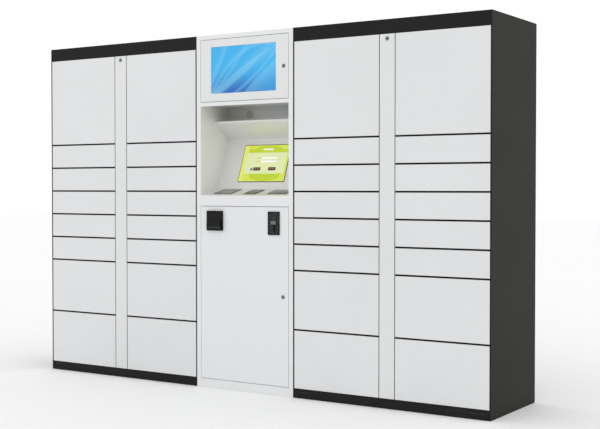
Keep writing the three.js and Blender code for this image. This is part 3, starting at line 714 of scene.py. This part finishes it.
def liner_paint():
    """Smooth glossy paint, a little greyer on the console, with painted shade deepening into the upper
    cavity and a painted reflection tinting it.
    """
    finish = Finish("liner_paint", Specular_IOR_Level=0.5, Coat_Roughness=0.03, Coat_IOR=1.75)
    x, y, z = finish.axes()
    cloud = finish.noise(2.6, 3.0)
    grain = finish.noise(520.0, 2.0)
    floor_z = liner_high.z - CAVITY_DROP
    cavity = finish.step(z, floor_z - 0.008, floor_z + 0.02)
    # Painted shade: the upper cavity's paint turns grey towards its back wall.
    deep = cavity * finish.step(y, FRONT, FRONT + CAVITY_DEPTH)
    between = abs(x) < liner_high.x - 1.5 * SHEET
    paint = finish.blend(cloud, srgb(233, 233, 230), srgb(240, 240, 237))
    paint = finish.blend(between * (1 - cavity), paint, srgb(222, 222, 219))
    # Painted reflection: that grey runs from brownish at the left to bluish at the right.
    grey = finish.blend(finish.step(x, -0.12, 0.16), srgb(190, 188, 182), srgb(186, 193, 196))
    finish.set(
        Base_Color=finish.blend(0.85 * deep, paint, grey),
        Roughness=0.32 + 0.1 * (cloud - 0.5),
        Coat_Weight=0.8 + 0.1 * (cloud - 0.5),
        Normal=finish.bump(grain, 0.000004),
    )
    return finish


dress("recess_liner", liner_paint())
ring_paint = powder_coat("ring_paint", srgb(150, 149, 143), 0.35)
camera_glass = Finish("camera_glass", Roughness=0.16)
glass_haze = camera_glass.noise(60.0, 2.0)
camera_glass.set(Base_Color=camera_glass.blend(glass_haze, srgb(172, 170, 165), srgb(184, 182, 177)))

CAMERA_X = -0.145
CAMERA_DROP = 0.041
CAMERA_RADIUS = 0.02
CAMERA_RING = 0.0035
CAMERA_RING_HEIGHT = 0.003
CAMERA_GLASS_HEIGHT = 0.0016
cavity_wall = liner_high.y - SHEET
camera_place = on_front(CAMERA_X, liner_high.z - CAMERA_DROP, cavity_wall)
ring_outside = circle(CAMERA_RADIUS, 40)
ring_inside = circle(CAMERA_RADIUS - CAMERA_RING, 40)
eye = circle(CAMERA_RADIUS - CAMERA_RING - 0.0001, 40)
camera_eye = Shape()
camera_eye.ring(ring_outside, ring_inside, camera_place, 0.0, CAMERA_RING_HEIGHT, edge=0.001)
camera_eye.prism(eye, camera_place, 0.0, CAMERA_GLASS_HEIGHT, edge=0.0006, finish=1)
camera_eye.piece("recess_camera", "cabinet", "liner_paint", ring_paint, camera_glass)


# ------------------------------------------------------------------ Console and touch screen
# The touch screen stands in the console's cut-out. It is a lit glass with a black border, and its
# picture is a lime form with two fields and two buttons.


CONSOLE_LEAN = math.radians(21.07)
CONSOLE_OUT = Vector((0, -math.cos(CONSOLE_LEAN), math.sin(CONSOLE_LEAN)))


def face_of(node, out):
    """A CAD node's outermost flat face in one direction: its place, width and height."""
    right = Vector((1, 0, 0))
    up = out.cross(right)
    corners = [vertex.co for vertex in nodes[node].data.vertices]
    height = max(corner.dot(out) for corner in corners)
    face = [corner for corner in corners if height - corner.dot(out) < 1e-5]
    sides = [sorted(corner.dot(axis) for corner in face) for axis in (right, up)]
    middle = [(side[0] + side[-1]) / 2 for side in sides]
    origin = right * middle[0] + up * middle[1] + out * height
    return facing(right, up, origin), sides[0][-1] - sides[0][0], sides[1][-1] - sides[1][0]


def lit(name, colour, shade=0.06, glow=0.88):
    """Something lit: a part of a picture under glass, or a lamp."""
    finish = Finish(name, Roughness=0.12, Emission_Strength=glow)
    cloud = finish.noise(18.0, 1.0)
    finish.set(
        Base_Color=darker(colour, 0.9),
        Emission_Color=finish.blend(cloud, darker(colour, shade), colour),
    )
    return finish


border_glass = Finish("border_glass", Coat_Weight=0.6)
border_grain = border_glass.noise(35.0, 2.0)
border_glass.set(
    Base_Color=border_glass.blend(border_grain, srgb(22, 22, 22), srgb(36, 36, 34)),
    Roughness=0.12 + 0.1 * border_grain,
)
dress("touch_screen", border_glass)

screen_place, screen_width, screen_height = face_of("touch_screen", CONSOLE_OUT)
BORDER = 0.0032
PICTURE_LAYER = 0.00012
picture_colours = (
    lit("form_lime", srgb(214, 228, 78)),
    lit("form_deep_lime", srgb(190, 212, 26)),
    lit("form_pale", srgb(226, 235, 176)),
    lit("form_white", srgb(252, 252, 248)),
    lit("form_orange", srgb(226, 192, 84)),
    lit("form_button", srgb(44, 32, 34)),
    lit("form_rust", srgb(168, 96, 42)),
    lit("form_blue", srgb(48, 88, 190)),
    lit("form_yellow", srgb(228, 236, 108)),
)
LIME, DEEP, PALE, WHITE, ORANGE, BUTTON, RUST, BLUE, YELLOW = range(len(picture_colours))
form = Shape()


def draw(outline, x, down, layer, colour):
    """A patch of the form, across and down from the middle of its upper edge; layers stack outwards."""
    place = screen_place @ Matrix.Translation((x, screen_height / 2 - down, 0.0))
    form.prism(outline, place, 0.0, PICTURE_LAYER * layer, finish=colour)


def arch(half_width, height, flat, steps=12):
    """A mound: a flat foot, round shoulders and a flat top."""
    outline = [Vector((-half_width, 0.0)), Vector((half_width, 0.0))]
    for i in range(1, steps):
        turn = math.pi * i / steps
        lean = math.cos(turn)
        across = flat * lean + (half_width - flat) * lean**3
        outline.append(Vector((across, height * math.sin(turn) ** 0.5)))
    return outline


# The form from its top: a header with a row of blocks over a hill, a pale panel with two rows of
# a label and a field, two buttons and a round one, and a bowl under the panel.
HEADER = 0.047
SIDE_BAR = 0.026
BANNER = 0.019
BANNER_INSET = 0.034
HILL = (0.098, HEADER - 0.007, 0.07)
HILL_X = 0.01
BLOCKS = 5
BLOCK = 0.0105
BLOCK_PITCH = 0.0135
BLOCK_START = -0.018
BLOCK_DOWN = 0.0275
PANEL_WIDTH = 0.262
PANEL_X = 0.004
PANEL_END = 0.17
# Each row: how far down it is, its label's width, and its field's place and width.
FORM_ROWS = ((0.079, 0.028, 0.026, 0.102), (0.099, 0.034, 0.024, 0.099))
LABEL_X = -0.0435
LABEL_HEIGHT = 0.0055
FIELD_HEIGHT = 0.0105
BUTTON_SIZE = (0.048, 0.019)
BUTTON_DOWN = 0.142
BUTTON_XS = (-0.042, 0.057)
RUST_SIZE = (0.012, 0.0085)
RUST_SHIFTS = (-0.009, 0.0085)
RUST_DOWN = 0.14
ROUND_BUTTON = 0.0078
ROUND_BUTTON_X = -0.0785
ROUND_BUTTON_DOWN = 0.144
BOWL = (0.104, 0.044, 0.05)
BOWL_X = 0.014

inner_width = screen_width - 2 * BORDER
inner_height = screen_height - 2 * BORDER
panel_height = PANEL_END - HEADER
draw(rectangle(inner_width, inner_height), 0.0, screen_height / 2, 1, LIME)
draw(rectangle(SIDE_BAR, inner_height), (SIDE_BAR - inner_width) / 2, screen_height / 2, 2, YELLOW)
draw(rectangle(inner_width - BANNER_INSET, BANNER), BANNER_INSET / 2, HEADER - BANNER / 2, 3, DEEP)
draw(arch(*HILL), HILL_X, HEADER, 4, DEEP)
draw(rectangle(PANEL_WIDTH, panel_height, 0.002), PANEL_X, HEADER + panel_height / 2, 5, PALE)
for i in range(BLOCKS):
    draw(rectangle(BLOCK, BLOCK, 0.0025), BLOCK_START + i * BLOCK_PITCH, BLOCK_DOWN, 6, WHITE)
for down, label_width, field_x, field_width in FORM_ROWS:
    draw(rectangle(label_width, LABEL_HEIGHT, 0.0015), LABEL_X, down, 6, ORANGE)
    draw(rectangle(field_width, FIELD_HEIGHT, 0.001), field_x, down, 6, WHITE)
for x in BUTTON_XS:
    draw(rectangle(*BUTTON_SIZE, 0.002), x, BUTTON_DOWN, 6, BUTTON)
    for shift in RUST_SHIFTS:
        draw(rectangle(*RUST_SIZE, 0.002), x + shift, RUST_DOWN, 7, RUST)
draw(circle(ROUND_BUTTON, 20), ROUND_BUTTON_X, ROUND_BUTTON_DOWN, 6, BLUE)
bowl = [Vector((-point.x, -point.y)) for point in arch(*BOWL)]
draw(bowl, BOWL_X, PANEL_END, 4, DEEP)
form.piece("screen_form", "cabinet", "touch_glass", *picture_colours)


# ------------------------------------------------------------------ Readers on the desk
# Three bought-in readers stand in cut-outs of the desk: a card reader, a code scanner with a grid
# printed on its glass, and a reader for identity cards. Each has a grey glass in a bevelled cap.


DESK_RISE = math.radians(13.71)
DESK_OUT = Vector((0, -math.sin(DESK_RISE), math.cos(DESK_RISE)))


def reader_gloss():
    finish = Finish("reader_gloss", Coat_Weight=0.3)
    cloud = finish.noise(12.0, 2.0)
    grain = finish.noise(700.0, 1.0)
    finish.set(
        Base_Color=finish.blend(cloud, srgb(92, 96, 94), srgb(112, 116, 113)),
        Roughness=0.2 + 0.1 * cloud,
        Normal=finish.bump(grain, 0.000006),
    )
    return finish


def reader_glass(name, colour):
    finish = Finish(name, Roughness=0.08)
    cloud = finish.noise(20.0, 2.0)
    finish.set(Base_Color=finish.blend(cloud, darker(colour, 0.25), colour))
    return finish


reader_cap = reader_gloss()
pad_glass = reader_glass("pad_glass", srgb(124, 128, 125))
scan_glass = reader_glass("scan_glass", srgb(84, 90, 87))
line_print = moulded("line_print", srgb(150, 154, 152), 0.4)
led_green = lit("led_green", srgb(96, 210, 90), glow=1.2)
READER_BEZEL = 0.006
GLASS_HEIGHT = 0.0008
PRINT_LEVELS = (0.0007, 0.0009)
CROSS_LEVELS = (0.0007, 0.00092)
PRINT_LINE = 0.0007
FRAME_LINE = 0.0012
GRID_PITCH = 0.006
GRID_REACH = 4
LED_SIZE = (0.0022, 0.007)
LED_HEIGHT = 0.0005

for name, glass in (("card_reader", pad_glass), ("code_scanner", scan_glass), ("id_reader", pad_glass)):
    dress(name, reader_cap)
    place, width, length = face_of(name, DESK_OUT)
    glass_outline = rectangle(width - 2 * READER_BEZEL, length - 2 * READER_BEZEL, 0.004)
    top = Shape()
    top.prism(glass_outline, place, 0.0, GLASS_HEIGHT, edge=0.0003)
    frame_line = rectangle(width - 5 * READER_BEZEL, length - 5 * READER_BEZEL, 0.003)
    top.ring(frame_line, inset(frame_line, FRAME_LINE), place, *PRINT_LEVELS, finish=1)
    led_place = Vector((width / 2 - READER_BEZEL / 2, length / 2 - 2 * READER_BEZEL, 0.0))
    led = place @ Matrix.Translation(led_place)
    top.prism(rectangle(*LED_SIZE, 0.001), led, 0.0, LED_HEIGHT, finish=2)
    if name == "code_scanner":
        upright_line = rectangle(PRINT_LINE, length - 6 * READER_BEZEL)
        cross_line = rectangle(width - 6 * READER_BEZEL, PRINT_LINE)
        for i in range(-GRID_REACH, GRID_REACH + 1):
            column = place @ Matrix.Translation((i * GRID_PITCH, 0.0, 0.0))
            top.prism(upright_line, column, *PRINT_LEVELS, finish=1)
            row = place @ Matrix.Translation((0.0, i * GRID_PITCH, 0.0))
            top.prism(cross_line, row, *CROSS_LEVELS, finish=1)
    top.piece(f"{name}_top", "cabinet", "reader_gloss", glass, line_print, led_green)


# ------------------------------------------------------------------ Display door
# The upper door of the control module carries the monitor behind a window in its sheet. The
# monitor shows a sky-blue picture with soft veils of light that cross.


display_coat = powder_coat("display_coat", srgb(227, 228, 228), 0.42, drift=0.03)
monitor_housing = moulded("monitor_housing", srgb(30, 30, 32), 0.5)
dress("display_door", display_coat)
dress("display_monitor", monitor_housing)
MONITOR_BORDER = 0.014
monitor_low, monitor_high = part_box("display_monitor")
window_width = monitor_high.x - monitor_low.x - 2 * MONITOR_BORDER
window_height = monitor_high.z - monitor_low.z - 2 * MONITOR_BORDER
window_x = (monitor_low.x + monitor_high.x) / 2
window_z = (monitor_low.z + monitor_high.z) / 2

# Each veil of light: where its edge starts along the foot, its slope and bend, the side that it
# lights and how far its light reaches.
VEILS = (
    (-0.06, 2.1, 3.2, 1, 0.5),
    (0.0, 1.5, 0.7, -1, 0.16),
    (0.03, 1.35, -0.35, -1, 0.3),
    (0.02, 2.4, -1.5, 1, 0.22),
    (0.16, 0.95, 0.35, 1, 0.34),
    (0.52, 1.7, -0.6, -1, 0.5),
    (0.34, 1.0, 0.5, -1, 0.14),
)


def sky_picture():
    """Veils of light that rise to the right and cross over a blue that deepens downwards."""
    finish = Finish("sky_picture", Roughness=0.18, Emission_Strength=0.94)
    x, y, z = finish.axes()
    across = (x - (window_x - window_width / 2)) * (1 / window_width)
    rise = (z - (window_z - window_height / 2)) * (1 / window_height)
    low_middle = 1 - finish.step(abs(across - 0.36), 0.02, 0.55)
    depth = (1 - finish.step(rise, -0.1, 0.62)) * (0.45 + 0.55 * low_middle)
    picture = finish.blend(depth, srgb(52, 178, 236), srgb(26, 84, 176))
    for start, slope, bend, side, reach in VEILS:
        past = across - start
        over = side * (rise - (slope * past + bend * past * past))
        veil = finish.step(over, 0.0, 0.016) * (1 - finish.step(over, 0.02, reach))
        picture = finish.blend(0.3 * veil, picture, srgb(140, 214, 244))
    finish.set(Base_Color=srgb(8, 20, 40), Emission_Color=picture)
    return finish


EDGE_GAP = 0.0006
PICTURE_HEIGHT = 0.0008
picture_place = on_front(window_x, window_z, monitor_low.y)
lit_area = rectangle(window_width - 2 * EDGE_GAP, window_height - 2 * EDGE_GAP)
picture = Shape()
picture.prism(lit_area, picture_place, 0.0, PICTURE_HEIGHT, edge=0.0003)
picture.piece("display_picture", "display_door", "display_panel", sky_picture())
cam_lock("display_lock", "display_door")


# ------------------------------------------------------------------ Service door
# The lower door of the control module covers the printer's paper, the coin box and the wiring.
# It is the same folded tray as the others, in white.


service_coat = powder_coat("service_coat", srgb(229, 231, 233), 0.42, drift=0.03)
dress("service_door", service_coat)
cam_lock("service_lock", "service_door")


# ------------------------------------------------------------------ Receipt printer
# A black moulded printer stands proud of the service door. Its cover is hinged at the top, and the
# paper leaves over a serrated steel bar in the slot between the cover and a ledge.


printer_low, printer_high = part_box("receipt_printer")
cover_low, cover_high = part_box("printer_cover")
printer_x = (printer_low.x + printer_high.x) / 2
SLOT_HEIGHT = 0.0025
LEDGE_START = 0.0025
LEDGE_END = 0.0115
LEDGE_FACE = 0.0004


def printer_moulding():
    """Black moulding whose ledge, under the slot, is a greener grey."""
    finish = Finish("printer_moulding", Specular_IOR_Level=0.16)
    x, y, z = finish.axes()
    cloud = finish.noise(9.0, 2.0)
    texture = finish.noise(1100.0, 1.0)
    slot_z = cover_low.z - SLOT_HEIGHT
    ledge = (z < slot_z - LEDGE_START) * (z > slot_z - LEDGE_END) * (y < printer_low.y + LEDGE_FACE)
    moulding = finish.blend(cloud, srgb(9, 10, 10), srgb(16, 17, 17))
    finish.set(
        Base_Color=finish.blend(0.9 * ledge, moulding, srgb(50, 57, 50)),
        Roughness=0.42 + 0.14 * (texture - 0.5),
        Normal=finish.bump(texture, 0.00001),
    )
    return finish


cover_plastic = moulded("cover_plastic", srgb(20, 21, 21), 0.36, 0.000008, gloss=0.16)
tear_steel = plated("tear_steel", srgb(150, 152, 154))
dress("receipt_printer", printer_moulding())
dress("printer_cover", cover_plastic)

TOOTH_PITCH = 0.0024
TOOTH_DEPTH = 0.0012
BAR_DEPTH = 0.004
BAR_SET_BACK = 0.0105
BAR_THICKNESS = 0.0004
BAR_END = 0.006
half_slot = (cover_high.x - cover_low.x) / 2 - BAR_END
teeth = []
for i in range(int(2 * half_slot / TOOTH_PITCH)):
    teeth.append(Vector((-half_slot + i * TOOTH_PITCH, -BAR_DEPTH)))
    teeth.append(Vector((-half_slot + (i + 0.5) * TOOTH_PITCH, -BAR_DEPTH - TOOTH_DEPTH)))
teeth += [Vector((half_slot, -BAR_DEPTH)), Vector((half_slot, 0.0)), Vector((-half_slot, 0.0))]
bar_origin = (printer_x, printer_low.y + BAR_SET_BACK, cover_low.z - SLOT_HEIGHT)
bar_place = facing((1, 0, 0), (0, 1, 0), bar_origin)
tear_bar = Shape()
tear_bar.prism(teeth, bar_place, 0.0, BAR_THICKNESS)
tear_bar.piece("printer_tear_bar", "service_door", "lock_metal", tear_steel)


# ------------------------------------------------------------------ Coin acceptor
# A moulded black plate with a raised border and four screws. A bezel frames its coin slot, and a
# grey button above the slot gives a stuck coin back. A small ring and bar are printed over it.


BORDER_WIDTH = 0.004
BORDER_HEIGHT = 0.0012
BEZEL_WIDTH = 0.0022
BEZEL_HEIGHT = 0.0011
SLOT_OFFSET = 0.041
SLOT_RISE = 0.034
SLOT_SIZE = Vector((0.0056, 0.0366))
WELL_GAP = 0.0008
WELL_BORDER = 0.003
SCREW_INSET = 0.0085
COIN_SCREW_RADIUS = 0.0022
COIN_SCREW_HEIGHT = 0.0009
MARK_RISE = 0.013
MARK_RADIUS = 0.0052
MARK_LINE = 0.001
MARK_BAR = (0.0012, 0.0052)
MARK_HEIGHT = 0.00015

coin_black = moulded("coin_black", srgb(12, 13, 13), 0.34, gloss=0.16)
coin_face = moulded("coin_face", srgb(40, 44, 42), 0.5, 0.00003, gloss=0.2)
button_grey = moulded("button_grey", srgb(100, 109, 108), 0.35)
mark_print = moulded("mark_print", srgb(78, 84, 82), 0.5)
dress("coin_acceptor", coin_face)
dress("coin_button", button_grey)


def widened(size, by):
    """A width and height with the same amount added on every side."""
    return Vector(size) + 2 * Vector((by, by))


button_low, button_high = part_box("coin_button")
coin_low, coin_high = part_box("coin_acceptor")
plate_y = coin_low.y
plate_x = (coin_low.x + coin_high.x) / 2
plate_z = (coin_low.z + coin_high.z) / 2
rim = rectangle(coin_high.x - coin_low.x, coin_high.z - coin_low.z, 0.0006)
plate_place = on_front(plate_x, plate_z, plate_y)
trim = Shape()
trim.ring(rim, inset(rim, BORDER_WIDTH), plate_place, 0.0, BORDER_HEIGHT, edge=0.0005)
slot_hole = rectangle(*SLOT_SIZE, 0.0026)
slot_rim = rectangle(*widened(SLOT_SIZE, BEZEL_WIDTH), 0.0048)
slot_place = on_front(coin_low.x + SLOT_OFFSET, coin_low.z + SLOT_RISE, plate_y)
trim.ring(slot_rim, slot_hole, slot_place, 0.0, BEZEL_HEIGHT, edge=0.0004)
button_size = (button_high.x - button_low.x, button_high.z - button_low.z)
button_middle = (button_low + button_high) / 2
well = rectangle(*widened(button_size, WELL_GAP), 0.0012)
well_rim = rectangle(*widened(button_size, WELL_BORDER), 0.0034)
button_place = on_front(button_middle.x, button_middle.z, plate_y)
trim.ring(well_rim, well, button_place, 0.0, BEZEL_HEIGHT, edge=0.0004)
trim.piece("coin_trim", "service_door", "coin_plate", coin_black)

coin_screws = Shape()
for x in (coin_low.x + SCREW_INSET, coin_high.x - SCREW_INSET):
    for z in (coin_low.z + SCREW_INSET, coin_high.z - SCREW_INSET):
        place = on_front(x, z, plate_y)
        coin_screws.prism(circle(COIN_SCREW_RADIUS, 16), place, 0.0, COIN_SCREW_HEIGHT, edge=0.0004)
coin_screws.piece("coin_screws", "service_door", "coin_plate", coin_black)

coin_mark = Shape()
mark_place = on_front(plate_x, button_high.z + MARK_RISE, plate_y)
mark_ring = (circle(MARK_RADIUS, 28), circle(MARK_RADIUS - MARK_LINE, 28))
coin_mark.ring(*mark_ring, mark_place, 0.0, MARK_HEIGHT)
coin_mark.prism(rectangle(*MARK_BAR), mark_place, 0.0, MARK_HEIGHT)
coin_mark.piece("coin_mark", "service_door", "coin_plate", mark_print)


# ------------------------------------------------------------------ Floor, light and camera
# A pale matt studio floor under an even white sky. The camera stands to the right of the locker at
# about half its height, and looks slightly down through a long lens.


FLOOR_HALF = 30.0
FLOOR_DROP = 0.0005
floor_mesh = bpy.data.meshes.new("floor")
floor_outline = rectangle(2 * FLOOR_HALF, 2 * FLOOR_HALF)
floor_corners = [(point.x, point.y, -FLOOR_DROP) for point in floor_outline]
floor_mesh.from_pydata(floor_corners, [], [(0, 1, 2, 3)])
floor = bpy.data.objects.new("floor", floor_mesh)
bpy.context.collection.objects.link(floor)
floor_paint = Finish("floor_paint", Roughness=0.8, Specular_IOR_Level=0.1)
floor_cloud = floor_paint.noise(1.2, 2.0)
floor_paint.set(Base_Color=floor_paint.blend(floor_cloud, srgb(248, 248, 248), srgb(252, 252, 252)))
floor_mesh.materials.append(floor_paint.material)

SKY_STRENGTH = 1.02
world = bpy.data.worlds.new("studio")
world.use_nodes = True
world.node_tree.nodes["Background"].inputs["Color"].default_value = (1.0, 1.0, 1.0, 1.0)
world.node_tree.nodes["Background"].inputs["Strength"].default_value = SKY_STRENGTH
bpy.context.scene.world = world
bpy.context.scene.view_settings.view_transform = "Standard"

# The camera stands off from the foot of the right-hand front corner.
CAMERA_STAND = Vector((2.0938, -4.8469, 1.0811))
CAMERA_DIP = math.radians(1.355)
CAMERA_TURN = math.radians(32.99)
LENS = 67.8
SENSOR_WIDTH = 36.0
corner = Vector((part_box("right_carcass")[1].x, FRONT, 0.0))
camera_data = bpy.data.cameras.new("camera")
camera_data.lens = LENS
camera_data.sensor_width = SENSOR_WIDTH
camera = bpy.data.objects.new("camera", camera_data)
camera.location = corner + CAMERA_STAND
camera.rotation_euler = (math.pi / 2 - CAMERA_DIP, 0.0, CAMERA_TURN)
bpy.context.collection.objects.link(camera)
bpy.context.scene.camera = camera
